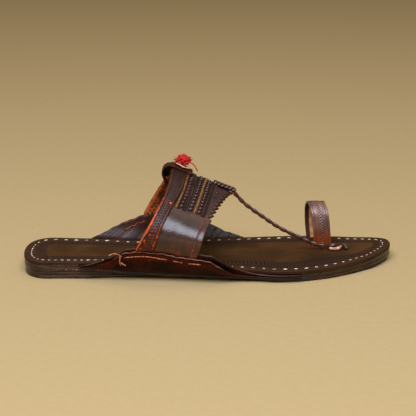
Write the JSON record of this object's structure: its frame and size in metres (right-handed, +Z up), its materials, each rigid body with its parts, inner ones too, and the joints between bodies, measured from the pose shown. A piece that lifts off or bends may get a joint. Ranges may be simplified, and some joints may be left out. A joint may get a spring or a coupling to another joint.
{
  "type": "kolhapuri sandal",
  "caption": "Open leather sandal: stitched flat sole with flared side ears, arched instep band with braided trim, twisted thong, big-toe loop and a small wool tuft.",
  "frame": {"origin": "middle of the sandal's box in plan, on the floor that heel and forefoot stand on", "axes": "+X from heel to toe, +Y to the inner (medial) side of the right foot, +Z up"},
  "size_m": [0.28, 0.1102, 0.0859],
  "materials": {
    "sole_leather": "vegetable-tanned, stained dark brown, waxed",
    "footbed_leather": "vegetable-tanned, olive brown, tooled border",
    "ear_leather": "oiled mahogany brown",
    "band_leather": "polished dark brown",
    "strap_leather": "embossed dark brown with worn orange edges",
    "thong_leather": "twisted cord, dark brown",
    "raw_leather": "raw flesh side",
    "red_wool": "combed tuft",
    "cotton_thread": "cream hand stitches",
    "gold_piping": "tan-gold leather strip"
  },
  "bodies": {
    "root": {"heel_lift_lower": "sole_leather", "heel_lift_upper": "sole_leather", "outsole": "sole_leather", "midsole": "sole_leather", "top_sole": "footbed_leather", "ear_lateral_outer": "ear_leather", "ear_lateral_lining": "ear_leather", "ear_medial_outer": "ear_leather", "ear_medial_lining": "ear_leather", "instep_band": "band_leather", "rear_strap": "strap_leather", "crown_loop": "strap_leather", "ridge_strip": "strap_leather", "pompom": "red_wool", "toe_thong": "thong_leather", "thong_knot": "raw_leather", "toe_loop": "strap_leather"}
  },
  "joints": []
}
